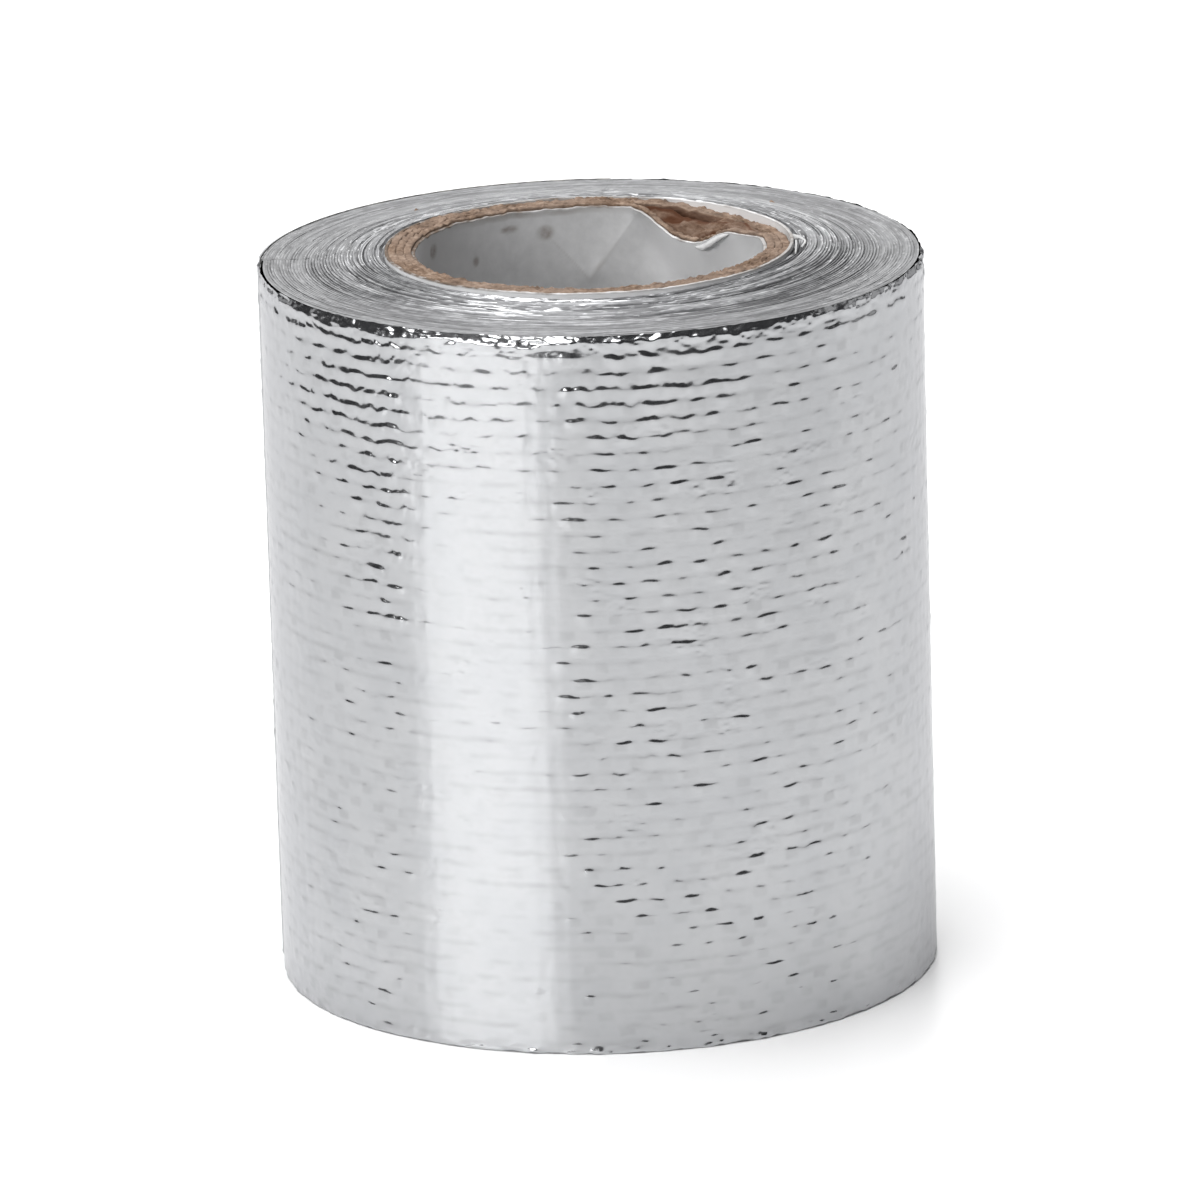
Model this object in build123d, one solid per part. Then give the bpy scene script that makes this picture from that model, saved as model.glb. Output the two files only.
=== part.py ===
"""Roll of foil-faced glass-cloth tape on a paper core, standing on its flat end.

Millimetres, +Z up along the roll's axis. The origin is on the core's axis, at the level the roll stands on.
The tape is one strip wound counter-clockwise (seen from above) from the core outwards. Its webs, from the
inner side of a turn to the outer side, are adhesive, glass cloth, laminating film and foil.
"""

import os
from math import atan2, cos, degrees, pi, radians, sin

from build123d import *

# Paper core
BORE_RADIUS = 11.9
LINER_THICKNESS = 0.25
PLY_THICKNESS = 0.53
WRAP_THICKNESS = 0.26
CORE_LENGTH = 50.0
# the board was trimmed a little short of the wrap
PLY_RECESS = 0.5

# Tape: web thicknesses in winding order, from the inner side of a turn to the outer side
WEBS = {"adhesive": 0.06, "glass_cloth": 0.09, "laminating_film": 0.02, "foil": 0.03}
TAPE_THICKNESS = sum(WEBS.values())
TAPE_WIDTH = 50.0
FULL_TURNS = 43

# The outer turns are flush. Inside them the edges climb towards the core, so that the core stands proud on
# top and is raised off the ground by as much below.
TELESCOPE = 0.8
FLUSH_RADIUS = 19.7

# The free end: it leaves the roll at the peel line and lies on the turn below it
PEEL_ANGLE = 86.0
END_LENGTHS = 5
END_ARC = 18.0
END_CLEARANCE = 0.04
END_SLIT = 0.02

# The dented lip: liner and inner ply are pushed into the bore at the top, back right, and torn lower there.
# The rest of the bore's lip flares a little.
DENT_ANGLE = 43.0
DENT_DEPTH = 2.4
DENT_RADIUS = 27.0
LIP_FOOT = 43.8
LIP_FLARE = 0.1
TEAR_DROP = 1.3
TEAR_HALF_WIDTH = 6.5

LINER_OUTER = BORE_RADIUS + LINER_THICKNESS
PLY_1_OUTER = LINER_OUTER + PLY_THICKNESS
PLY_2_OUTER = PLY_1_OUTER + PLY_THICKNESS
PLY_3_OUTER = PLY_2_OUTER + PLY_THICKNESS
CORE_RADIUS = PLY_3_OUTER + WRAP_THICKNESS
CORE_TOP = TELESCOPE + CORE_LENGTH
BOARD_TOP = CORE_TOP - PLY_RECESS
LAST_TURN_RADIUS = CORE_RADIUS + FULL_TURNS * TAPE_THICKNESS
ROLL_RADIUS = LAST_TURN_RADIUS + END_CLEARANCE + TAPE_THICKNESS

PARTS = {}


def at(radius, angle, centre_x=0.0):
    """The point at this radius and angle (degrees) about a centre on the X axis."""
    return (centre_x + radius * cos(radians(angle)), radius * sin(radians(angle)))


def arc(radius, start, end, centre_x=0.0):
    return ThreePointArc(
        at(radius, start, centre_x), at(radius, (start + end) / 2, centre_x), at(radius, end, centre_x)
    )


def tube(inner, outer, bottom, top):
    """A round tube between two heights."""
    ring = Circle(outer) - Circle(inner)
    return Pos(0, 0, bottom) * extrude(ring, top - bottom)


# ---- paper core ----


def dent(radius):
    """A leaning cylinder whose near side is the pushed-in wall: it meets the bore at the lip's foot and leans
    over it by the full depth at the top."""
    rise = BOARD_TOP - LIP_FOOT
    lean = degrees(atan2(DENT_DEPTH, rise))
    near_side = Rot(0, 0, DENT_ANGLE) * Pos(BORE_RADIUS, 0, LIP_FOOT) * Rot(0, -lean, 0)
    return near_side * Pos(DENT_RADIUS, 0, 0) * Cylinder(radius, 8 * rise)


def torn_edge():
    """The scallop torn out of the pushed-in edge: a lying cylinder that points at the dent."""
    radius = (TEAR_HALF_WIDTH**2 + TEAR_DROP**2) / (2 * TEAR_DROP)
    axis_height = BOARD_TOP - TEAR_DROP + radius
    lying = Rot(0, 0, DENT_ANGLE) * Pos(PLY_1_OUTER / 2, 0, axis_height) * Rot(0, 90, 0)
    return lying * Cylinder(radius, PLY_1_OUTER + 2)


def plug(radius, flare=0.0):
    """The filled space inside one surface of the core's dented webs. It may flare above the lip's foot."""
    outline = Polyline(
        (0, TELESCOPE),
        (radius, TELESCOPE),
        (radius, LIP_FOOT),
        (radius + flare, BOARD_TOP),
        (0, BOARD_TOP),
        close=True,
    )
    depth_in_wall = radius - BORE_RADIUS
    return revolve(Plane.XZ * make_face(outline), Axis.Z) - dent(DENT_RADIUS - depth_in_wall)


def core():
    bore = plug(BORE_RADIUS, LIP_FLARE)
    liner = plug(LINER_OUTER)
    ply_1 = plug(PLY_1_OUTER)
    PARTS["core_inner_liner"] = liner - bore - torn_edge()
    PARTS["core_board_ply_1"] = ply_1 - liner - torn_edge()
    PARTS["core_board_ply_2"] = tube(PLY_1_OUTER, PLY_2_OUTER, TELESCOPE, BOARD_TOP)
    PARTS["core_board_ply_3"] = tube(PLY_2_OUTER, PLY_3_OUTER, TELESCOPE, BOARD_TOP)
    PARTS["core_outer_wrap"] = tube(PLY_3_OUTER, CORE_RADIUS, TELESCOPE, CORE_TOP)


# ---- wound tape ----


def spiral(offset, turns, end_angle):
    """Arcs of a spiral that grows by one tape thickness a turn, at this offset within the tape.

    The back half of each turn is centred on the axis. The front half is centred half a thickness to the
    right, so the arcs join without a corner.
    """
    radius = CORE_RADIUS + offset
    arcs = []
    for turn in range(turns):
        arcs.append(arc(radius, 0, 180))
        arcs.append(arc(radius + TAPE_THICKNESS / 2, 180, 360, TAPE_THICKNESS / 2))
        radius += TAPE_THICKNESS
    arcs.append(arc(radius, 0, end_angle))
    return arcs


def wound_envelope():
    """The wound tape's outline turned round the axis: flush outside FLUSH_RADIUS, climbing inside it."""
    reach = ROLL_RADIUS + 1
    outline = Polyline(
        (CORE_RADIUS - 0.5, TELESCOPE),
        (CORE_RADIUS, TELESCOPE),
        (FLUSH_RADIUS, 0),
        (reach, 0),
        (reach, TAPE_WIDTH),
        (FLUSH_RADIUS, TAPE_WIDTH),
        (CORE_RADIUS, TAPE_WIDTH + TELESCOPE),
        (CORE_RADIUS - 0.5, TAPE_WIDTH + TELESCOPE),
        close=True,
    )
    return revolve(Plane.XZ * make_face(outline), Axis.Z)


def wound_web(inner, outer, envelope):
    """One web of the wound tape, between two offsets within the tape's thickness."""
    inside = spiral(inner, FULL_TURNS, PEEL_ANGLE)
    outside = spiral(outer, FULL_TURNS, PEEL_ANGLE)
    start = Line(inside[0] @ 0, outside[0] @ 0)
    end = Line(inside[-1] @ 1, outside[-1] @ 1)
    section = make_face(Wire([start, *inside, end, *outside]))
    return extrude(section, TAPE_WIDTH + TELESCOPE) & envelope


def wound_tape():
    envelope = wound_envelope()
    offset = 0.0
    for web, thickness in WEBS.items():
        PARTS["wound_" + web] = wound_web(offset, offset + thickness, envelope)
        offset += thickness


# ---- free end ----


def end_length(number):
    """The webs of one length of the free end, which lies on the roll with a hair of clearance."""
    start = PEEL_ANGLE + (number - 1) * END_ARC
    slit = END_SLIT / ROLL_RADIUS * 180 / pi
    radius = LAST_TURN_RADIUS + END_CLEARANCE
    for web, thickness in WEBS.items():
        inside = arc(radius, start + slit, start + END_ARC)
        outside = arc(radius + thickness, start + slit, start + END_ARC)
        sides = [Line(inside @ 0, outside @ 0), Line(inside @ 1, outside @ 1)]
        section = make_face(Wire([inside, outside, *sides]))
        PARTS[f"end_{number}_{web}"] = extrude(section, TAPE_WIDTH)
        radius += thickness


core()
wound_tape()
for number in range(1, END_LENGTHS + 1):
    end_length(number)

os.makedirs("parts", exist_ok=True)
for name, shape in PARTS.items():
    export_step(shape, f"parts/{name}.step")
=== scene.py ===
"""Looks for the roll of foil-faced glass-cloth tape: foil pressed into the weave, slit edges of the turns,
torn paper core, and the free end that peels off.

Shapes are worked out in millimetres and written in metres. Angles on the roll are in degrees, from +X towards
+Y: 90 is the back, and 270 faces the camera.
"""

import math

import bpy
import numpy as np
from mathutils import Matrix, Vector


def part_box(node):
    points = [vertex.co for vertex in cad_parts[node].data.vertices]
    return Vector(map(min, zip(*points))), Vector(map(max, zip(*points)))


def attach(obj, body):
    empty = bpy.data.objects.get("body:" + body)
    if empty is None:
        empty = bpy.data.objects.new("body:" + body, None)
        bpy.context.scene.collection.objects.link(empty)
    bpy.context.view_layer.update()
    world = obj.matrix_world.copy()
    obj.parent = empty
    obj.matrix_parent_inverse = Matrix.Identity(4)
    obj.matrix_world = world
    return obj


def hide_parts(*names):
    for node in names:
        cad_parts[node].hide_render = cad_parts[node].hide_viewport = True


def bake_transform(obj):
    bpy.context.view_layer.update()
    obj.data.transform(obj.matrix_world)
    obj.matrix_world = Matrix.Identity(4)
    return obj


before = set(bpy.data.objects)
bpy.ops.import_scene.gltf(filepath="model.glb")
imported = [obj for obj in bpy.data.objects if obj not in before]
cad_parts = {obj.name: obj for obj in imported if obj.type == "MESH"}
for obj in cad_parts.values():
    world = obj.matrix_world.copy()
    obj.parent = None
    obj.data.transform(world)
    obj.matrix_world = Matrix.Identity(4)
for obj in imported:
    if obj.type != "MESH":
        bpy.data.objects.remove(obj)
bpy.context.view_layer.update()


def box_mm(node):
    lo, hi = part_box(node)
    return np.array(lo) * 1000, np.array(hi) * 1000


# ---- sizes: the nodes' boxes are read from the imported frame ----

wound_lo, wound_hi = box_mm("wound_foil")
end_hi = box_mm("end_1_foil")[1]
wrap_lo, wrap_hi = box_mm("core_outer_wrap")
ply3_hi = box_mm("core_board_ply_3")[1]
ply2_hi = box_mm("core_board_ply_2")[1]
ply1_hi = box_mm("core_board_ply_1")[1]
liner_hi = box_mm("core_inner_liner")[1]

WIDTH = end_hi[2]
R_FRONT = -wound_lo[1]
R_BELOW = -wound_lo[0]
R_LAST = wound_hi[0]
PITCH = R_LAST - R_BELOW
SHIFT = PITCH / 2
R_END = end_hi[1]
WRAP_R, PLY3_R, PLY2_R = wrap_hi[0], ply3_hi[0], ply2_hi[0]
PLY1_R, LINER_R = ply1_hi[0], liner_hi[0]
LINER_THICKNESS = 0.25
BORE_R = LINER_R - LINER_THICKNESS
CORE_TOP, CORE_BOTTOM = wrap_hi[2], wrap_lo[2]
BOARD_TOP = ply3_hi[2]
PROUD = CORE_TOP - WIDTH
# the turns' edges are flush outside this radius and climb towards the core inside it
FLUSH_R = 19.7

# the free end: its tip, the peel line, and the arc of each of its lengths
END_ANGLE, PEEL_ANGLE, ARC = 176.0, 86.0, 18.0
# rows of the weave across the tape, their pitch, and the pitch of the yarns along it
ROWS = 45
ROW = WIDTH / ROWS
COLUMN = 1.2


# ---- repeatable noise ----

LATTICE = 512


def lattice(seed):
    return np.random.default_rng(seed).uniform(-1, 1, (LATTICE, LATTICE))


def smooth(t):
    return t * t * (3 - 2 * t)


def noise(seed, x, y, size_x, size_y=None):
    """Smooth noise from -1 to 1 at points x, y, with cells of this size."""
    x, y = np.broadcast_arrays(x / size_x, y / (size_y or size_x))
    x, y = x + 100, y + 100
    grid = lattice(seed)
    ix, iy = np.floor(x).astype(int), np.floor(y).astype(int)
    fx, fy = smooth(x - ix), smooth(y - iy)

    def g(a, b):
        return grid[a % LATTICE, b % LATTICE]

    low = g(ix, iy) * (1 - fx) + g(ix + 1, iy) * fx
    high = g(ix, iy + 1) * (1 - fx) + g(ix + 1, iy + 1) * fx
    return low * (1 - fy) + high * fy


def ramp(x, a, b):
    return smooth(np.clip((x - a) / (b - a), 0, 1))


def bump(x, centre, half):
    return 1 - ramp(np.abs(x - centre), 0, half)


def turned(angle, centre):
    """Signed angle from centre, in degrees, from -180 to 180."""
    return (angle - centre + 180) % 360 - 180


def sector(angle, centre, inner, outer):
    """1 within the inner number of degrees from centre, falling to 0 at the outer one."""
    return 1 - ramp(np.abs(turned(angle, centre)), inner, outer)


# ---- meshes ----


def grid_mesh(name, points, closed=(False, False), values=None, flip=False):
    """A quad mesh from points[i, j] in millimetres. values are named point attributes of the same shape."""
    nu, nv = points.shape[:2]
    index = np.arange(nu * nv).reshape(nu, nv)
    a = np.concatenate([index, index[:1]]) if closed[0] else index
    a = np.concatenate([a, a[:, :1]], axis=1) if closed[1] else a
    quads = np.stack([a[:-1, :-1], a[1:, :-1], a[1:, 1:], a[:-1, 1:]], -1)
    quads = quads.reshape(-1, 4)
    if flip:
        quads = quads[:, ::-1]
    mesh = bpy.data.meshes.new(name)
    mesh.vertices.add(nu * nv)
    mesh.vertices.foreach_set("co", (points.reshape(-1) * 0.001).astype(np.float32))
    mesh.loops.add(quads.size)
    mesh.loops.foreach_set("vertex_index", quads.reshape(-1).astype(np.int32))
    mesh.polygons.add(len(quads))
    mesh.polygons.foreach_set("loop_start", (np.arange(len(quads)) * 4).astype(np.int32))
    mesh.polygons.foreach_set("use_smooth", np.ones(len(quads), bool))
    mesh.update(calc_edges=True)
    for key, value in (values or {}).items():
        attribute = mesh.attributes.new(key, "FLOAT", "POINT")
        attribute.data.foreach_set("value", np.broadcast_to(value, (nu, nv)).reshape(-1).astype(np.float32))
    piece = bpy.data.objects.new(name, mesh)
    bpy.context.scene.collection.objects.link(piece)
    return piece


def polar(radius, angle, z, centre_x=0.0):
    t = np.radians(angle)
    r, t, z = np.broadcast_arrays(radius, t, z)
    return np.stack([centre_x + r * np.cos(t), r * np.sin(t), z], -1)


def give(piece, material, body=None, stands_for=()):
    piece.data.materials.append(material)
    if body:
        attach(piece, body)
    if stands_for:
        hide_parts(*stands_for)
    return piece


# ---- materials ----


class Nodes:
    """A short way to write a node tree."""

    def __init__(self, name):
        self.material = bpy.data.materials.new(name)
        self.material.use_nodes = True
        self.tree = self.material.node_tree
        self.shader = self.tree.nodes["Principled BSDF"]

    def add(self, kind, inputs=None, **settings):
        node = self.tree.nodes.new(kind)
        for key, value in settings.items():
            setattr(node, key, value)
        for key, value in (inputs or {}).items():
            if isinstance(value, bpy.types.NodeSocket):
                self.tree.links.new(value, node.inputs[key])
            else:
                node.inputs[key].default_value = value
        return node

    def math(self, operation, a, b=0.0):
        return self.add("ShaderNodeMath", {0: a, 1: b}, operation=operation).outputs[0]

    def value(self, name):
        return self.add("ShaderNodeAttribute", attribute_name=name).outputs["Fac"]

    def place(self, scale=(1, 1, 1)):
        coordinates = self.add("ShaderNodeTexCoord").outputs["Object"]
        return self.add("ShaderNodeMapping", {"Vector": coordinates, "Scale": scale}).outputs[0]

    def cloud(self, scale, detail=3.0, roughness=0.55, stretch=(1, 1, 1)):
        inputs = {"Vector": self.place(stretch), "Scale": scale, "Detail": detail, "Roughness": roughness}
        return self.add("ShaderNodeTexNoise", inputs).outputs["Fac"]

    def ramp(self, value, stops):
        node = self.add("ShaderNodeValToRGB", {"Fac": value})
        elements = node.color_ramp.elements
        while len(elements) < len(stops):
            elements.new(0.5)
        for element, (position, colour) in zip(elements, stops):
            element.position = position
            element.color = (*colour, 1) if isinstance(colour, tuple) else (colour, colour, colour, 1)
        return node.outputs["Color"]

    def mix(self, factor, a, b):
        node = self.add("ShaderNodeMix", data_type="RGBA")
        for socket, value in ((node.inputs["Factor"], factor), (node.inputs[6], a), (node.inputs[7], b)):
            if isinstance(value, bpy.types.NodeSocket):
                self.tree.links.new(value, socket)
            else:
                socket.default_value = (*value, 1) if isinstance(value, tuple) else value
        return node.outputs[2]

    def relief(self, height, distance, strength=1.0):
        inputs = {"Height": height, "Distance": distance, "Strength": strength}
        return self.add("ShaderNodeBump", inputs).outputs[0]

    def finish(self, **sockets):
        names = {"colour": "Base Color", "rough": "Roughness", "metal": "Metallic", "normal": "Normal",
                 "specular": "Specular IOR Level", "coat": "Coat Weight", "coat_rough": "Coat Roughness",
                 "edge_tint": "Specular Tint"}
        for key, value in sockets.items():
            socket = self.shader.inputs[names[key]]
            if isinstance(value, bpy.types.NodeSocket):
                self.tree.links.new(value, socket)
            else:
                socket.default_value = (*value, 1) if isinstance(value, tuple) else value
        return self.material


def foil_material():
    n = Nodes("aluminium_foil")
    patches = n.cloud(260, 4)
    fine = n.cloud(2600, 2)
    colour = n.ramp(patches, [(0.3, (0.437, 0.444, 0.456)), (0.7, (0.476, 0.481, 0.490))])
    # painted shade: the foil is darkened in the dips of the weave
    colour = n.mix(n.value("weave_shade"), colour, (0.31, 0.312, 0.318))
    rough = n.ramp(n.math("ADD", n.math("MULTIPLY", patches, 0.6), n.math("MULTIPLY", fine, 0.4)),
                   [(0.35, 0.15), (0.65, 0.24)])
    return n.finish(colour=colour, rough=rough, metal=1.0, edge_tint=(0.85, 0.85, 0.86),
                    normal=n.relief(fine, 0.00001, 0.35))


def edge_material():
    """Slit edges of the turns: a bright hairline of foil on each, and grey cloth and adhesive between."""
    n = Nodes("slit_edges")
    foil = n.value("bare_foil")
    tone_and_shade = n.value("tone_and_shade")
    grain = n.cloud(1500, 3)
    cloth = n.ramp(grain, [(0.3, (0.20, 0.202, 0.208)), (0.7, (0.39, 0.394, 0.402))])
    # painted shade: the edges are darkened towards near black where they sit low and in the gaps
    shaded = n.mix(n.ramp(tone_and_shade, [(0.0, 0.0), (1.0, 1.0)]), (0.05, 0.05, 0.053), cloth)
    colour = n.mix(n.ramp(foil, [(0.2, 0.0), (0.7, 1.0)]), shaded, (0.60, 0.605, 0.615))
    metal = n.ramp(foil, [(0.1, 0.75), (0.6, 1.0)])
    rough = n.mix(foil, n.ramp(grain, [(0.3, 0.34), (0.7, 0.5)]), (0.22, 0.22, 0.22))
    return n.finish(colour=colour, rough=rough, metal=metal, normal=n.relief(grain, 0.00004, 0.6))


def kraft_material():
    n = Nodes("kraft_board")
    fibres = n.cloud(900, 5, 0.7, (1, 1, 2.2))
    blotch = n.cloud(220, 3)
    browns = [(0.32, (0.058, 0.033, 0.021)), (0.5, (0.18, 0.12, 0.083)), (0.68, (0.35, 0.262, 0.202))]
    colour = n.ramp(fibres, browns)
    colour = n.mix(n.ramp(blotch, [(0.4, 0.0), (0.65, 0.45)]), colour, (0.28, 0.215, 0.175))
    # the torn plies are darkened; in the pocket and the sunken strata this is painted shade
    colour = n.mix(n.value("torn_tone_and_shade"), colour, (0.070, 0.025, 0.010))
    return n.finish(colour=colour, rough=0.9, specular=0.2, normal=n.relief(fibres, 0.00012, 0.9))


def paper_material(name, light, dark, stain_and_shade=0.0):
    n = Nodes(name)
    grain = n.cloud(1200, 4, 0.6)
    blotch = n.cloud(150, 4)
    colour = n.ramp(grain, [(0.3, dark), (0.7, light)])
    colour = n.mix(n.ramp(blotch, [(0.58, 0.0), (0.75, stain_and_shade)]), colour, (0.30, 0.245, 0.19))
    # painted light: the paper is lightened towards white where it sits in shade
    colour = n.mix(n.value("painted_light"), colour, (0.78, 0.78, 0.785))
    # real stains and painted shade both turn the paper to this brown
    stain_and_shade_by_grain = n.math("MULTIPLY", n.value("stain_and_shade"), n.ramp(grain, [(0.35, 0.4), (0.65, 1.0)]))
    colour = n.mix(stain_and_shade_by_grain, colour, (0.13, 0.095, 0.07))
    return n.finish(colour=colour, rough=0.8, specular=0.25, normal=n.relief(grain, 0.00005, 0.5))


def tape_back_material():
    """The sticky side: woven glass yarn seen through clear adhesive."""
    n = Nodes("glass_cloth_and_adhesive")
    grain = n.cloud(1800, 4, 0.6)
    yarn = n.value("yarn")
    colour = n.ramp(yarn, [(0.0, (0.33, 0.32, 0.28)), (0.7, (0.62, 0.61, 0.56)), (1.0, (0.72, 0.71, 0.67))])
    colour = n.mix(n.ramp(grain, [(0.4, 0.0), (0.7, 0.35)]), colour, (0.80, 0.79, 0.74))
    return n.finish(colour=colour, rough=n.ramp(grain, [(0.3, 0.22), (0.7, 0.38)]), coat=0.5, coat_rough=0.12,
                    normal=n.relief(grain, 0.00003, 0.5))


FOIL = foil_material()
EDGES = edge_material()
KRAFT = kraft_material()
LINER = paper_material("white_liner_paper", (0.53, 0.53, 0.532), (0.46, 0.46, 0.463), 0.3)
WRAP = paper_material("white_wrap_paper", (0.56, 0.56, 0.555), (0.46, 0.46, 0.46))
BACK = tape_back_material()


# ---- foil face ----


def s_of(angle):
    """Place along the tape, in millimetres from its free end, of this angle on the outer turns. Angles run
    from the end at 176 down through 0, so that 270 stands for -90."""
    angle = np.where(np.asarray(angle) > END_ANGLE, np.asarray(angle) - 360, angle)
    return (END_ANGLE - angle) * math.pi / 180 * R_FRONT


def hill(s, v, place, half_s, half_v):
    """A smooth hill of height 1 at this angle and height on the roll."""
    angle, z = place
    return np.exp(-(((s - s_of(angle)) / half_s) ** 2) - ((v - z) / half_v) ** 2)


BAND_ANGLE = 249


def in_bright_band(s):
    """1 in the upright band that mirrors the front left softbox, 0 outside it."""
    return 1 - ramp(np.abs(s - s_of(BAND_ANGLE)), 4.6, 6.6)


# Where the weave is pressed through the foil more or less than elsewhere: strength, angle and height, and
# half sizes along and across the tape
PRESSED = (
    (1.20, (227, 47), 6.8, 8.5),
    (0.50, (281, 46), 7.0, 7.5),
    (0.26, (252, 44), 7.0, 7.0),
    (0.50, (233, 32), 3.6, 10.0),
    (0.34, (283, 28), 9.0, 8.0),
    (0.24, (300, 10), 12.0, 8.0),
    (0.20, (262, 22), 6.0, 12.0),
    (0.95, (336, 31), 1.3, 1.5),
    (0.16, (215, 3), 12.0, 4.0),
    (-0.30, (251, 15), 5.0, 18.0),
    (-0.60, (300, 49), 10.0, 2.8),
)


def worn(s, v):
    """Where the weave is pressed through the foil most, about 0 to 1."""
    strong = sum(share * hill(s, v, place, half_s, half_v) for share, place, half_s, half_v in PRESSED)
    strong += 0.28 * ramp(v, 42, 49) + 0.40 * ramp(v, WIDTH - 2.6, WIDTH - 1.6)
    return strong + 0.14 * noise(20, s, v, 26.0, 17.0) + 0.12 * noise(21, s, v, 6.0, 5.0)


# mean distance along the tape between the small peaks of the ledges
PEAKS_APART = 1.15


def in_weave(s, v, strong):
    """Place along the tape with the weave's own waviness, the row of the weave, and the place in the row."""
    strong = np.clip(strong, 0, 1)
    v1 = v + 0.08 * noise(11, s, v, 2.4, 6.0) + (0.06 + 0.10 * strong) * noise(12, s, v, 0.7, 1.0)
    peaks = bump((s / PEAKS_APART + 0.9 * noise(98, s, v, 2.6, 1.6)) % 1, 0.5, 0.17)
    v1 = v1 - 0.24 * strong * peaks * ramp(noise(99, s, v, 1.8, 0.9), -0.2, 0.5)
    s1 = s + 0.18 * noise(13, s, v, 8.0, 1.5)
    row = np.floor(v1 / ROW)
    return s1, row, v1 / ROW - row


def painted_weave_shade(s, v):
    """Painted shade on the foil: soft darker cells where the yarns dip, and darker rows, 0 to 1."""
    s1, row, f = in_weave(s, v, worn(s, v))
    column = s1 / COLUMN + 0.30 * noise(93, s, v, 2.0, 3.0)
    cells = ramp(np.cos(np.pi * (column + row)), -0.1, 0.5) * ramp(f, 0.0, 0.25) * ramp(f, 0.80, 0.55)
    cells = cells * (0.24 + 0.38 * noise(94, s1 + 1.9 * row, row * 4.7, 1.6, 1.0))
    cells = cells * (1 - 0.65 * in_bright_band(s))
    rows = bump(f, 0.72, 0.34) * (0.20 + 0.38 * noise(92, s1 + 2.3 * row, row * 3.1, 1.4, 1.0))
    return np.clip(np.maximum(cells, rows) + 0.10 * noise(95, s, v, 0.5, 0.4), 0, 1) * 0.72


# Creases beside the bright band: angle, height, half length, and sideways lean
UPRIGHT_CREASES = ((239.5, 43, 5.5, 0.0), (245.5, 44, 5.0, -0.14), (261.5, 38.5, 3.0, 0.08))


def foil_height(s, v):
    """Relief of the foil in millimetres, outwards from its nominal face: plain weave whose upper yarn edges
    show as small ledges, with crumples between them."""
    strong = worn(s, v)
    s1, row, f = in_weave(s, v, strong)
    lean = np.cos(np.pi * (s1 / COLUMN - row))
    loose = noise(14, s1 + 3.7 * row, row * 7.3, 0.8, 1.0)
    loose = loose + 0.6 * noise(90, s1 + 1.3 * row, row * 5.7, 2.6, 1.0)
    amount = np.clip(0.30 * lean + 0.66 * loose + 0.02 + 0.80 * strong, 0.09, 0.97)
    amount = amount * (1 - 0.58 * in_bright_band(s))
    waves = np.abs(noise(15, s1 + 2.9 * row, row * 5.1, 0.55, 1.0))
    thick = np.minimum(0.085 + 0.06 * amount + (0.06 + 0.46 * np.clip(strong, 0, 1)) * waves, 0.34)
    foot = 0.63 + 0.03 * noise(16, s1, row * 3.3, 1.8, 1.0)
    ledge = ramp(f, -0.1, foot) * (1 - ramp(f, foot, foot + thick))
    pillow = lean * np.cos(2 * np.pi * (f - 0.5)) * 0.5 + 0.5
    height = ledge * amount * thick * ROW * 0.25 + 0.005 * pillow
    height += 0.004 * np.cos(2 * np.pi * s1 / COLUMN) * (0.6 + 0.5 * noise(97, s, v, 2.5, 1.5))
    sparse = ramp(noise(17, s, v, 2.3, 1.5) + 0.12 * np.clip(strong, 0, 1.2), 0.30, 0.80)
    crumple = sparse * (0.014 * noise(18, s, v, 0.30, 0.22) + 0.016 * noise(19, s, v, 0.8, 0.5))
    swell = 0.014 * noise(25, s, v, 15.0, 11.0) + 0.007 * noise(26, s, v, 3.5, 1.7)
    for angle, z, half, tilt in UPRIGHT_CREASES:
        away = s - s_of(angle) - tilt * (v - z) + 0.12 * noise(29, s, v, 3.0, 0.9)
        uneven = 0.7 + 0.6 * noise(30, s, v, 3.0, 0.7)
        swell = swell + 0.02 * bump(away, 0, 0.22) * bump(v, z, half) * uneven
    thread = 0.004 * noise(27, s, v * 0, 0.6) * (0.6 + 0.4 * noise(28, s, v, 3.0, 9.0))
    return height + crumple + swell + thread


def across_samples(per_row):
    """Heights across the tape, with the samples of each row of the weave evenly spread."""
    return np.linspace(0, WIDTH, ROWS * per_row + 1)


# heights of the bent top edge and the bottom edge
RIM = 0.68
FOOT = 0.3


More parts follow.
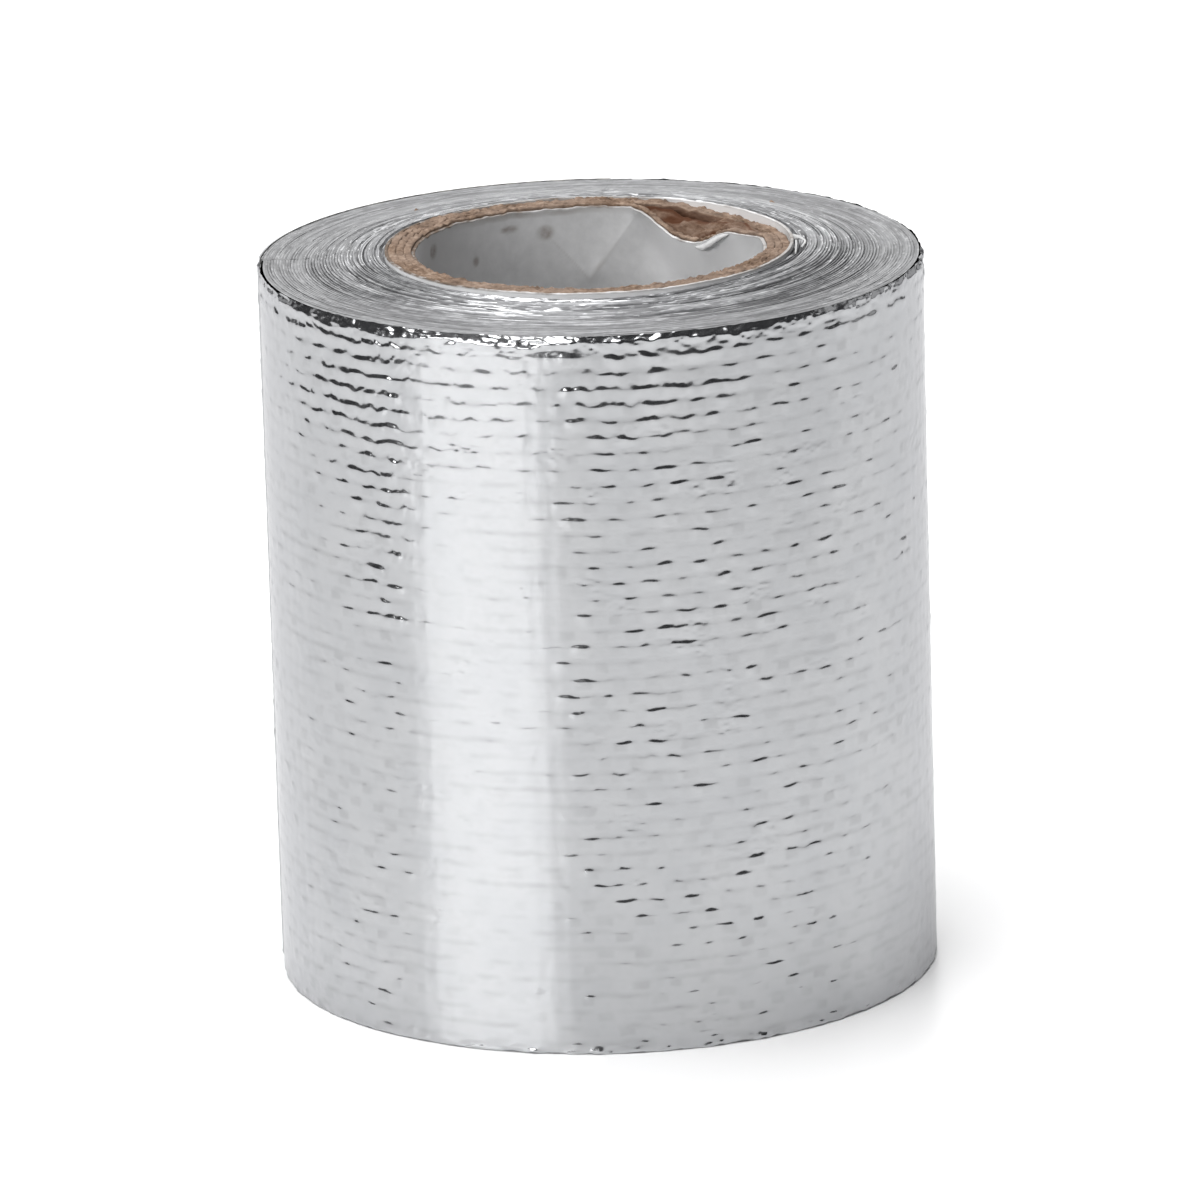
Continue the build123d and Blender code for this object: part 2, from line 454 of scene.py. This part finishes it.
def rolled(s, v):
    """How far the face falls back at its top and bottom edges, and the height there. The top edge is pressed
    in and crumpled, except under the free end, and both edges are a little ragged."""
    right = hill(s, v * 0, (308, 0), 16.0, 1.0)
    tall = RIM * (0.94 - 0.38 * right + 0.20 * noise(31, s, v * 0, 5.0) + 0.20 * noise(36, s, v * 0, 1.1))
    up = np.clip((v - (WIDTH - tall)) / tall, 0, 1.0)
    down = np.clip((FOOT - v) / FOOT, 0, 1)
    shallow = 0.8 * hill(s, v * 0, (192, 0), 7.0, 1.0) + 0.5 * hill(s, v * 0, (350, 0), 10.0, 1.0)
    back = tall * (0.34 * up + 0.08 * up**2) * (1 - shallow) + FOOT * 0.22 * down**2
    turn = 2 * math.pi * R_FRONT
    back = back * (1 - 0.9 * ramp(s, turn - 0.5, turn + 0.5)) + 0.05 * ramp(-v, -0.05, 0)
    near = np.maximum(ramp(v, WIDTH - 1.3, WIDTH - 0.6), 1.3 * ramp(-v, -0.75, -0.1))
    wild = 0.90 + 0.5 * noise(37, s, v * 0, 6.0) + 0.4 * right
    crumple = 0.034 * noise(32, s, v, 0.36, 0.25) + 0.050 * noise(33, s, v, 0.9, 0.45)
    burrs = 0.05 * ramp(noise(38, s, v, 0.20, 0.16), 0.55, 0.9)
    back = back - burrs * np.maximum(ramp(v, WIDTH - 0.75, WIDTH - 0.6), ramp(-v, -0.5, -0.2))
    edge = ramp(v, WIDTH - 0.6, WIDTH)
    ragged = 0.035 * noise(34, s, v * 0, 0.5) + 0.03 * noise(35, s, v * 0, 2.2) - 0.03
    return back + crumple * near * wild, v + ragged * edge - 0.4 * ragged * ramp(-v, -0.4, 0)


def wound_radius(angle):
    """Radius and centre of the wound face. Angles run down from the peel line, so the turn below has less."""
    front = (angle >= -180) & (angle < 0)
    radius = np.where(angle >= 0, R_LAST, np.where(front, R_FRONT, R_BELOW))
    return radius, np.where(front, SHIFT, 0.0)


def foil_patch(name, start, stop, columns, per_row, on_end=False):
    """The foil face between two angles, on the roll or on the free end, whose tip is pressed down."""
    angle = np.linspace(start, stop, columns)[:, None]
    v = across_samples(per_row)[None, :]
    s = s_of(angle) + 0 * v
    radius, centre = (R_END, 0.0) if on_end else wound_radius(angle)
    v = v + 0 * s
    back, z = rolled(s, v)
    radius = radius - 0.17 * (1 - ramp(s, 0.0, 0.3)) if on_end else radius
    points = polar(radius + foil_height(s, v) - back, angle, z, centre)
    piece = grid_mesh(name, points, values={"weave_shade": painted_weave_shade(s, v)}, flip=start > stop)
    piece.data.materials.append(FOIL)
    return piece


def foil_face():
    """The foil of the roll itself: finely meshed where it shows, and coarser below the free end."""
    edges = np.linspace(PEEL_ANGLE, END_ANGLE - 360, 7)
    pieces = []
    for k, (start, stop) in enumerate(zip(edges, edges[1:])):
        pieces.append(foil_patch(f"foil_face_{k + 1}", start, stop, 124, 16))
    pieces.append(foil_patch("foil_face_under_end", END_ANGLE - 360 + 0.4, PEEL_ANGLE - 360 - 4, 190, 8))
    for piece in pieces:
        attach(piece, "roll")
    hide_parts("wound_foil")


foil_face()


# ---- slit edges of the turns ----


def edge_relief(r, angle, seed):
    """Unevenness of the slit edges of the turns in millimetres, with their tone and how much bare foil
    shows. The tone is partly painted shade: it falls where the edges sit lower and in the gaps. Noise runs
    along the tape, so that each turn has its own."""
    front = np.where(angle >= 180, (1 + np.cos(np.radians(angle))) / 2, 0.0)
    q = (r - WRAP_R) / PITCH - front
    turn = np.floor(q)
    phase = q - turn
    wound = turn + angle / 360
    way = 2 * math.pi * wound * (WRAP_R + PITCH * wound / 2)
    inner = 1 - ramp(r, 15.5, 20.0)
    lone = noise(seed, way, 0 * way, 4.5)
    sides = np.cos(np.radians(angle)) * 1.7 + 9, np.sin(np.radians(angle)) * 1.7 + 9
    pack = noise(seed + 1, wound * 0.27, sides[0], 1.0) + noise(seed + 8, wound * 0.27, sides[1], 1.0)
    short = noise(seed + 2, way, 0 * way, 0.9)
    gap = ramp(noise(seed + 3, way, 0 * way, 8.0), 0.25, 0.70) * bump(phase, 0.05, 0.45)
    height = (0.008 + 0.026 * inner) * lone + (0.008 + 0.085 * inner) * pack + (0.004 + 0.011 * inner) * short
    height += (0.012 + 0.014 * inner) * (bump(phase, 0.85, 0.3) - bump(phase, 0.15, 0.3))
    height += 0.004 * noise(seed + 4, way, r, 0.4, 0.06) - (0.02 + 0.15 * inner) * gap
    foil = ramp(noise(seed + 5, way, 0 * way, 3.0) + 0.5 * short, 0.15, 0.70) * bump(phase, 0.85, 0.45)
    nicks = ramp(noise(seed + 6, way, r, 0.55, 0.13), 0.38, 0.80)
    height += 0.008 * nicks
    foil = np.maximum(foil, 0.8 * nicks)
    # the tone is partly painted shade: it falls with the lower edges and in the gaps
    tone_and_shade = 0.55 + (0.22 + 0.25 * inner) * lone + (0.12 + 0.20 * inner) * pack + 0.15 * short - 0.9 * gap
    return height, np.clip(tone_and_shade, 0, 1), foil * (0.40 + 0.38 * inner)


def bent_edges(r, angle, height, tone_and_shade, foil):
    """Foil bent over at the front of the inner turns, and three gaps beside the core, painted dark as shade.
    """
    way = np.radians(angle) * r
    folds = bump(r, 14.85, 0.42) * ramp(np.cos(way * 2.3) + 0.7 * noise(71, way, 0 * way, 1.2), -0.2, 0.5)
    folds = folds * sector(angle, 256, 12, 19)
    flecks = ramp(noise(72, way, r, 0.75, 0.20) + 0.3 * noise(73, way, r, 3.0, 0.8), 0.36, 0.6)
    flecks = flecks * bump(r, 17.2, 2.4) * sector(angle, 260, 12, 24)
    gaps = np.maximum(bump(turned(angle, 279.5), 0, 4.5), bump(turned(angle, 289), 0, 4.0))
    gaps = gaps * bump(r, 14.65, 0.35)
    gaps = np.maximum(gaps, bump(turned(angle, 350), 0, 9) * bump(r, 14.5 + 0.03 * turned(angle, 350), 0.4))
    height = height + 0.13 * folds + 0.02 * flecks - 0.35 * gaps
    return height, tone_and_shade * (1 - gaps), np.clip(np.maximum(foil, np.maximum(folds, 0.5 * flecks)) - gaps, 0, 1)


def slope(r):
    """How far the edges of the turns have climbed at this radius."""
    return PROUD * np.clip((FLUSH_R - r) / (FLUSH_R - WRAP_R), 0, 1)


def slit_edges(name, level, sign, seed):
    """The edges of all turns at the top (sign 1) or the bottom (sign -1), as two half rings."""
    t = np.linspace(0, 1, int((R_FRONT - WRAP_R) / PITCH * 5))[None, :]
    for half, (start, stop) in enumerate(((0, 180), (180, 360))):
        angle = np.linspace(start, stop, 361)[:, None]
        wraps = np.where(angle > PEEL_ANGLE, angle - 360, angle)
        under = ramp(angle, PEEL_ANGLE - 1, PEEL_ANGLE) * (1 - ramp(angle, END_ANGLE, END_ANGLE + 1))
        outer, shift = wound_radius(wraps)
        outer = outer + shift * np.cos(np.radians(angle)) - 0.03 - 0.24 * (1 - under)
        r = WRAP_R - 0.02 + (outer - WRAP_R + 0.02) * t
        around = angle + 0 * r
        height, tone_and_shade, foil = edge_relief(r, around, seed)
        if sign > 0:
            height, tone_and_shade, foil = bent_edges(r, around, height, tone_and_shade, foil)
        rim = ramp(t, 0.94, 1.0)
        z = level + slope(r) + sign * (height * (1 - rim) - 0.05 * rim)
        if sign < 0:
            z = np.maximum(z, 0.01)
        else:
            # the turns beside the core sit lower, most of all at the front left
            z = z - 0.26 * (1 - ramp(r, WRAP_R, WRAP_R + 0.45))
            z = z - 0.20 * sector(angle, 238, 50, 85) * (1 - ramp(r, WRAP_R, 17.0))
        values = {"tone_and_shade": tone_and_shade, "bare_foil": foil}
        piece = grid_mesh(f"{name}_{half + 1}", polar(r, angle, z), values=values, flip=sign > 0)
        webs = ("wound_glass_cloth", "wound_adhesive", "wound_laminating_film")
        give(piece, EDGES, "roll", webs)


slit_edges("slit_edges_top", WIDTH, 1, 41)
slit_edges("slit_edges_bottom", 0.0, -1, 51)


# ---- paper core ----

# the lip is pushed in here, by a leaning cylinder of this radius that meets the bore at the lip's foot
DENT_ANGLE, DENT_DEPTH, DENT_RADIUS, LIP_FOOT = 43.0, 2.4, 27.0, 43.8


def dented(radius, angle, z):
    """Radius of a web of the core with the lip pushed in at the back right."""
    share = np.clip((z - LIP_FOOT) / (BOARD_TOP - LIP_FOOT), 0, 1.1)
    centre = radius - DENT_DEPTH * share + DENT_RADIUS
    away = np.radians(turned(angle, DENT_ANGLE))
    within = np.abs(away) < 1.2
    inside = DENT_RADIUS**2 - (centre * np.sin(away)) ** 2
    near = np.where(within, centre * np.cos(away) - np.sqrt(np.maximum(inside, 0)), radius)
    soft = 0.25
    return np.where(within, -soft * np.logaddexp(-radius / soft, -near / soft), radius)


def tear(angle):
    """Depth of the scallop torn out of the dented lip, steeper at its right."""
    away = turned(angle, DENT_ANGLE + 3)
    return 1.3 * np.where(away < 0, bump(away, 0, 25), 1 - ramp(away, 6, 30))


# the V-shaped crease in the liner: the height of its point at the back, and how much its arms rise per degree
CREASE_Z, LEFT_RISE, RIGHT_RISE = 45.4, 0.235, 0.28


def above_crease(angle, z):
    """Height above the V-shaped crease in the liner, whose point is low on the back wall."""
    away = turned(angle, 90.0)
    return z - CREASE_Z - np.where(away > 0, LEFT_RISE * away, -RIGHT_RISE * away)


def liner_shape(radius, angle, z):
    """The liner: dented at the back right and buckled outwards above the crease."""
    above = above_crease(angle, z)
    buckle = -0.15 * np.exp(-np.where(above > 0, above / 1.3, -above / 2.0)) * sector(angle, 90, 14, 24)
    way = np.radians(angle) * BORE_R
    waves = 0.05 * noise(75, way, z, 5.0, 3.0) + 0.012 * noise(76, way, z, 1.2, 1.0)
    return dented(radius, angle, z) + buckle * ramp(z, 44, 46) + waves * ramp(z, 30, 46)


def recess(angle):
    """How far the board stops below the wrap: nearly flush at the left and deepest at the back right."""
    away = turned(angle, 28)
    return 0.10 + 0.52 * (1 - ramp(away, 0, 62)) * (1 - ramp(-away, 22, 50))


def ragged(seed, angle, amount):
    way = np.radians(angle) * PLY2_R
    return amount * (noise(seed, way, 0 * way, 0.5) + 0.8 * noise(seed + 1, way, 0 * way, 2.5))


def board_top(seed, lower):
    """The top edge of the round plies, by angle."""
    def top(angle):
        rough = ragged(63, angle, 0.06) + ragged(seed, angle, 0.012)
        return CORE_TOP - recess(angle) - lower + rough
    return top


def torn_top(seed, lower):
    """The top edge of the liner and the inner ply, by angle. Both are torn at the dent."""
    def top(angle):
        rough = ragged(63, angle, 0.05) + ragged(seed, angle, 0.015)
        return CORE_TOP - np.minimum(recess(angle), 0.35) - lower - tear(angle) + rough
    return top


# Stains on the liner: angle, height, and half sizes in degrees and millimetres
SPOTS = ((117.6, 49.4, 4.5, 0.35), (131.3, 47.6, 2.0, 0.5), (154.0, 49.3, 4.0, 0.8), (104.7, 48.9, 4.0, 0.7))


def stains_and_painted_shade(angle, z, rise, way):
    """How much of the brown stain colour the core's paper takes, up to 1 and more. Real stains: the lip,
    patches of the top edge, and spots. Painted shade: both arms of the crease, the shade under the lip, and
    the whole left side."""
    above, behind = above_crease(angle, z), turned(angle, 90)
    # painted shade along both arms of the crease
    right_arm = bump(above, 0, 0.5) * ramp(behind, 3, -3) * ramp(z, 48.5, 46.5)
    left_arm = bump(above, 0, 0.16) * ramp(behind, -1, 2) * ramp(z, 48.6, 48.0)
    stain_and_shade = np.maximum(0.28 * right_arm, 0.22 * left_arm) * ramp(z, 44, 45)
    bare = (1 - bump(turned(angle, 120), 0, 50)) * (1 - bump(turned(angle, 55), 0, 26))
    bare = bare * ramp(z - rise, -0.07, -0.01) * ramp(noise(91, way, 0 * z, 1.5), -0.7, 0.0)
    stain_and_shade = np.maximum(stain_and_shade, 0.55 * bare)
    lip = 0.22 + 0.28 * (1 - sector(angle, 45, 22, 40)) + 0.85 * sector(angle, 185, 42, 68)
    lip = lip + 0.6 * np.clip(noise(96, way, 0 * z, 1.1), 0, 1)
    stain_and_shade = np.maximum(stain_and_shade, lip * ramp(z - rise, -0.09, -0.02))
    # painted shade in a band just under the lip
    under = (0.80 + 0.35 * noise(86, way, 0 * z, 1.6)) * bump(rise - z, 0.22, 0.21)
    stain_and_shade = np.maximum(stain_and_shade, under * bump(turned(angle, 112), 0, 56))
    for place, height, half, tall in SPOTS:
        away = np.hypot(turned(angle, place) / half, (z - height) / tall)
        stain_and_shade = np.maximum(stain_and_shade, 0.8 * (1 - ramp(away, 0.3, 1.0)))
    # painted shade over the whole left side
    return np.maximum(stain_and_shade, 0.22 * bump(turned(angle, 172), 0, 60))


def core_tube(name, inner, outer, top, material, node, seed, rough, shape=None):
    """A web of the core: a closed tube whose top edge is at top(angle) and is fibrous."""
    angle = np.linspace(0, 360, 720, endpoint=False)[:, None]
    way = np.radians(angle) * outer
    rise = top(angle)
    # depths below the top edge, closest together near it
    down = np.concatenate([[0, 0.05], np.arange(0.15, 7.3, 0.17), [8, 10, 14, 20, 28, 36, 44]])
    outside = [rise - d for d in down] + [CORE_BOTTOM + 0 * angle]
    middle = [rise + 2 * rough * np.abs(noise(seed, way, 0 * way + k, 0.35, 1.0)) for k in range(4)]
    heights = outside[::-1] + middle + outside
    share = [0.0] * len(outside) + [0.07, 0.36, 0.64, 0.93] + [1.0] * len(outside)
    z = np.concatenate(heights, 1)
    radius = inner + (outer - inner) * np.array(share)[None, :] + 0 * z
    if shape:
        radius = shape(radius, angle + 0 * z, z)
    # painted light: the liner at the dent, back right, and the wrap at the front left are lightened towards
    # white
    painted_light = np.maximum(sector(angle, 40, 18, 36), sector(angle, 238, 55, 85))
    values = {"stain_and_shade": stains_and_painted_shade(angle, z, rise, way), "painted_light": 0.85 * painted_light}
    piece = grid_mesh(name, polar(radius, angle, z), closed=(True, True), values=values, flip=True)
    return give(piece, material, "roll", (node,))


def torn_board():
    """Split plies between the dented lip and the round board behind it: a fibrous bulge with a pocket."""
    angle = np.linspace(6, 84, 240)[:, None]
    t = np.linspace(0, 1, 48)[None, :]
    low = torn_top(67, 0.03)(angle) - 0.04
    high = board_top(65, 0.015)(angle) - 0.06
    near = dented(PLY1_R - 0.1, angle, low)
    far = PLY1_R + 0.04
    gap = np.clip((far - near) / 2.2, 0, 1)
    way = np.radians(angle) * 12 + 0 * t
    radius = near + (far - near) * t
    pocket = bump(t, 0.74, 0.24) * sector(angle, 60, 9, 20) * ramp(gap, 0.15, 0.45)
    z = low + (high - low) * t**0.7 + gap * (0.62 * np.sin(np.pi * t**0.7) - 2.2 * pocket)
    strata = ramp(noise(80, way, radius, 3.0, 0.28), 0.0, 0.7)
    # painted shade in the pocket and along the sunken strata, over a darker tone for all the torn plies
    torn_tone_and_shade = np.clip(0.42 + 1.5 * pocket + 0.6 * strata * ramp(gap, 0.1, 0.3), 0, 0.96)
    fibres = 0.20 * noise(77, way, radius, 2.6, 0.28) + 0.07 * noise(78, way, radius, 0.7, 0.12)
    z = z + ramp(gap, 0, 0.25) * (fibres - 0.12 * strata)
    piece = grid_mesh("core_board_torn_plies", polar(radius, angle, z), values={"torn_tone_and_shade": torn_tone_and_shade}, flip=True)
    give(piece, KRAFT, "roll")


def sheet(name, path, across, thick, material):
    """A small strip of paper that follows a path of points, with this vector across it. Closed."""
    path, across = np.array(path, float), np.array(across, float)
    t = np.linspace(0, len(path) - 1, 8 * len(path))
    line = np.stack([np.interp(t, range(len(path)), path[:, k]) for k in range(3)], 1)
    kernel = np.ones(7) / 7
    line = np.stack([np.convolve(np.pad(line[:, k], 3, "edge"), kernel, "valid") for k in range(3)], 1)
    wide = np.stack([np.interp(t, range(len(path)), across[:, k]) for k in range(3)], 1)
    along = np.gradient(line, axis=0)
    normal = np.cross(along, wide)
    normal = normal / np.linalg.norm(normal, axis=1)[:, None] * thick / 2
    ring = [line + normal, line + wide / 2 + normal, line + wide + normal]
    ring += [line + wide - normal, line + wide / 2 - normal, line - normal]
    points = np.stack(ring, 1)
    cap = points.mean(1, keepdims=True) + 0 * points
    points = np.concatenate([cap[:1], points, cap[-1:]])
    wobble = noise(79, points[..., 0] * 3 + 40, points[..., 2] * 3, 1.0)[..., None]
    give(grid_mesh(name, points + 0.02 * wobble, closed=(False, True)), material, "roll")


def on_core(radius, angle, z):
    return polar(radius, angle, z).tolist()


def paper_scraps():
    """The liner's folded flap, the loose end of the wrap's overlap, and two chips of board on the turns."""
    flap = []
    for angle, z in ((43, 48.7), (37, 49.05), (31, 49.65), (26, 50.1), (22, 50.25)):
        flap.append(on_core(float(dented(BORE_R, np.float64(angle), z)) - 0.10, angle, z))
    across = [(-0.02, -0.05, -0.1), (-0.12, -0.22, -0.38), (-0.15, -0.28, -0.44), (-0.1, -0.2, -0.3)]
    across.append((0, 0, -0.08))
    sheet("core_liner_flap", flap, across, 0.12, WRAP)

    places = ((13.95, 6.5, 50.0), (14.35, 3.0, 50.0), (14.75, -1.5, 50.1), (14.55, -6.0, 50.1))
    across = [(0.0, 0.0, 0.72), (0.05, 0, 0.80), (0.1, 0, 0.62), (0, 0, 0.45)]
    sheet("core_wrap_overlap", [on_core(*place) for place in places], across, 0.14, WRAP)

    places = ((14.1, -2.0, 50.2), (14.15, -7.0, 50.3), (14.35, -12.0, 50.3))
    across = [(0.05, 0, 0.62), (0.1, 0, 0.5), (0.0, 0, 0.2)]
    sheet("core_wrap_curl", [on_core(*place) for place in places], across, 0.12, WRAP)

    across = [(0.1, 0.22, 0.1), (0.1, 0.45, 0.25), (0.05, 0.15, 0.02)]
    for k, (x, y, turn, size) in enumerate(((12.8, 12.7, -25, 0.85), (-11.95, 13.4, 20, 0.6))):
        c, q = math.cos(math.radians(turn)) * size, math.sin(math.radians(turn)) * size
        path = [(x - c / 2, y - q / 2, 50.0), (x - c / 5, y - q / 6, 50.1), (x + c / 2, y + q / 2, 50.03)]
        sheet(f"core_board_chip_{k + 1}", path, across, 0.08, KRAFT)


def wrap_top(angle):
    return CORE_TOP - 0.02 + ragged(61, angle, 0.02)


def core():
    core_tube("core_wrap_paper", PLY3_R + 0.03, WRAP_R - 0.02, wrap_top,
              WRAP, "core_outer_wrap", 62, 0.02)
    core_tube("core_board_outer", PLY2_R, PLY3_R + 0.03, board_top(63, 0.0),
              KRAFT, "core_board_ply_3", 64, 0.085)
    core_tube("core_board_middle", PLY1_R, PLY2_R, board_top(65, 0.015),
              KRAFT, "core_board_ply_2", 66, 0.09)
    core_tube("core_board_inner", LINER_R, PLY1_R, torn_top(67, 0.03),
              KRAFT, "core_board_ply_1", 68, 0.085, dented)
    core_tube("core_liner_paper", BORE_R, LINER_R, torn_top(69, 0.17),
              LINER, "core_inner_liner", 70, 0.02, liner_shape)
    torn_board()
    paper_scraps()


core()


# ---- free end ----

LENGTHS = 5


def weave(s, v):
    """Height of plain-woven yarn, from 0 between the yarns to 1 on top of them."""
    row, column = v / ROW, s / COLUMN
    along = np.cos(np.pi * (column - np.floor(row))) * (1 - np.abs(2 * (row % 1) - 1) ** 4)
    across = -np.cos(np.pi * (row - np.floor(column))) * (1 - np.abs(2 * (column % 1) - 1) ** 4)
    return np.clip(0.5 + 0.5 * np.maximum(along, across), 0, 1)


def sticky_side(name, start, stop, columns):
    """The inner face of the free end, with the weave raised towards the roll."""
    angle = np.linspace(start, stop, columns)[:, None]
    v = across_samples(6)[None, :]
    s = s_of(angle) + 0 * v
    z = v + 0 * s
    yarn = weave(s, z)
    radius = R_END - PITCH - 0.012 * yarn
    piece = grid_mesh(name, polar(radius, angle, z), values={"yarn": yarn}, flip=True)
    piece.data.materials.append(BACK)
    return piece


def strip_rim(name, start, stop, columns):
    """The slit edges and, at its tip, the cut end of the free end: a thin closed band round the strip."""
    inner, outer = R_END - PITCH + 0.012, R_END - 0.03
    angle = np.linspace(start, min(stop, END_ANGLE - 0.9), columns)
    v = np.linspace(0.02, WIDTH - 0.04, 60)
    path = [(a, v[-1]) for a in angle] + [(angle[-1], x) for x in v[::-1][1:]]
    path += [(a, v[0]) for a in angle[::-1][1:]] + [(angle[0], x) for x in v[1:-1]]
    a = np.array([p[0] for p in path])[:, None]
    z = np.array([p[1] for p in path])[:, None]
    r = np.linspace(inner, outer, 4)[None, :]
    points = polar(r + 0 * a, a + 0 * r, z + 0 * r)
    web = np.broadcast_to(np.array([0.1, 0.2, 0.3, 0.9])[None, :], points.shape[:2])
    piece = grid_mesh(name, points, closed=(True, False), values={"tone_and_shade": 0.7, "bare_foil": web})
    piece.data.materials.append(EDGES)
    return piece


def free_end():
    """Patches that reach from the middle of one length to the middle of the next. The last rides on end_5;
    the others stay where they are made, with their transforms baked in."""
    middles = [PEEL_ANGLE] + [PEEL_ANGLE + ARC * (k + 0.5) for k in range(LENGTHS)] + [END_ANGLE]
    for k, (start, stop) in enumerate(zip(middles, middles[1:])):
        columns = int((stop - start) / ARC * 46) + 2
        made = [
            foil_patch(f"free_end_foil_{k}", start, stop, columns, 12, on_end=True),
            sticky_side(f"free_end_sticky_side_{k}", start, stop, columns),
            strip_rim(f"free_end_edges_{k}", start, stop, columns),
        ]
        # the first two patches stand for the first length
        number = max(k, 1)
        webs = [("foil", "laminating_film"), ("adhesive",), ("glass_cloth",)]
        for piece, names in zip(made, webs):
            if k == LENGTHS:
                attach(piece, "end_5")
            else:
                hinge_points = [tuple(polar(R_END, a, WIDTH / 2) * 0.001) for a in (start, stop)]
                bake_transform(piece)
            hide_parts(*[f"end_{number}_{w}" for w in names])


free_end()


# ---- studio ----

# radius of the floor, and the camera fitted to the photo: lens on a 36 mm sensor, its place round the roll,
# and the point it looks at
FLOOR = 0.6
LENS, SENSOR = 316.54, 36
ELEVATION, ROLL, DISTANCE = math.radians(15.64), math.radians(-1.631), 0.72755
TARGET = np.array([0.0000574, 0, 0.025524])


def studio():
    scene = bpy.context.scene
    scene.view_settings.view_transform = "Standard"
    world = bpy.data.worlds.new("studio")
    scene.world = world
    world.use_nodes = True
    world.node_tree.nodes["Background"].inputs["Color"].default_value = (0.055, 0.055, 0.058, 1)

    bpy.ops.mesh.primitive_circle_add(vertices=96, radius=FLOOR, fill_type="NGON")
    floor = bpy.context.object
    floor.name = "floor"
    n = Nodes("floor")
    pale = n.ramp(n.cloud(3, 1), [(0.3, (0.91, 0.91, 0.91)), (0.7, (0.93, 0.93, 0.93))])
    floor.data.materials.append(n.finish(colour=pale, rough=0.35, specular=0.5))

    def softbox(name, azimuth, elevation, distance, wide, high, radiance):
        """A soft light at this azimuth (0 is the camera's side, 90 is +X), aimed at the roll. wide and high
        are in degrees as seen from the roll."""
        light = bpy.data.lights.new(name, "AREA")
        light.shape = "RECTANGLE"
        light.size = 2 * distance * math.tan(math.radians(wide / 2))
        light.size_y = 2 * distance * math.tan(math.radians(high / 2))
        light.energy = radiance * math.pi * light.size * light.size_y
        a, e = math.radians(azimuth), math.radians(elevation)
        back = np.array([math.sin(a) * math.cos(e), -math.cos(a) * math.cos(e), math.sin(e)])
        side = np.cross([0, 0, 1], back)
        side = side / np.linalg.norm(side)
        lamp = bpy.data.objects.new(name, light)
        lamp.matrix_world = Matrix(np.stack([side, np.cross(back, side), back], 1).tolist()).to_4x4()
        lamp.location = back * distance + np.array([0, 0, 0.025])
        scene.collection.objects.link(lamp)

    # azimuth, elevation, distance, width, height, radiance
    softbox("overhead", -50, 76, 1.2, 60, 46, 5.1)
    softbox("top_back", 180, 58, 1.4, 38, 22, 3.2)
    softbox("front_left", -41, 17.5, 1.2, 42, 13, 7.5)
    softbox("right", 120, 15, 1.3, 58, 28, 0.55)
    softbox("left", -140, 15, 1.3, 28, 28, 0.5)
    softbox("back", 180, 24, 1.5, 18, 44, 1.65)

    camera_data = bpy.data.cameras.new("camera")
    camera_data.sensor_width, camera_data.lens = SENSOR, LENS
    camera_data.clip_start, camera_data.clip_end = 0.05, 20
    camera = bpy.data.objects.new("camera", camera_data)
    forward = np.array([0, math.cos(ELEVATION), -math.sin(ELEVATION)])
    right = np.array([1.0, 0, 0])
    up = np.cross(right, forward)
    x = right * math.cos(ROLL) + up * math.sin(ROLL)
    y = -right * math.sin(ROLL) + up * math.cos(ROLL)
    where = TARGET - forward * DISTANCE
    matrix = np.eye(4)
    matrix[:3, 0], matrix[:3, 1], matrix[:3, 2], matrix[:3, 3] = x, y, -forward, where
    camera.matrix_world = Matrix(matrix.tolist())
    scene.collection.objects.link(camera)
    scene.camera = camera


studio()
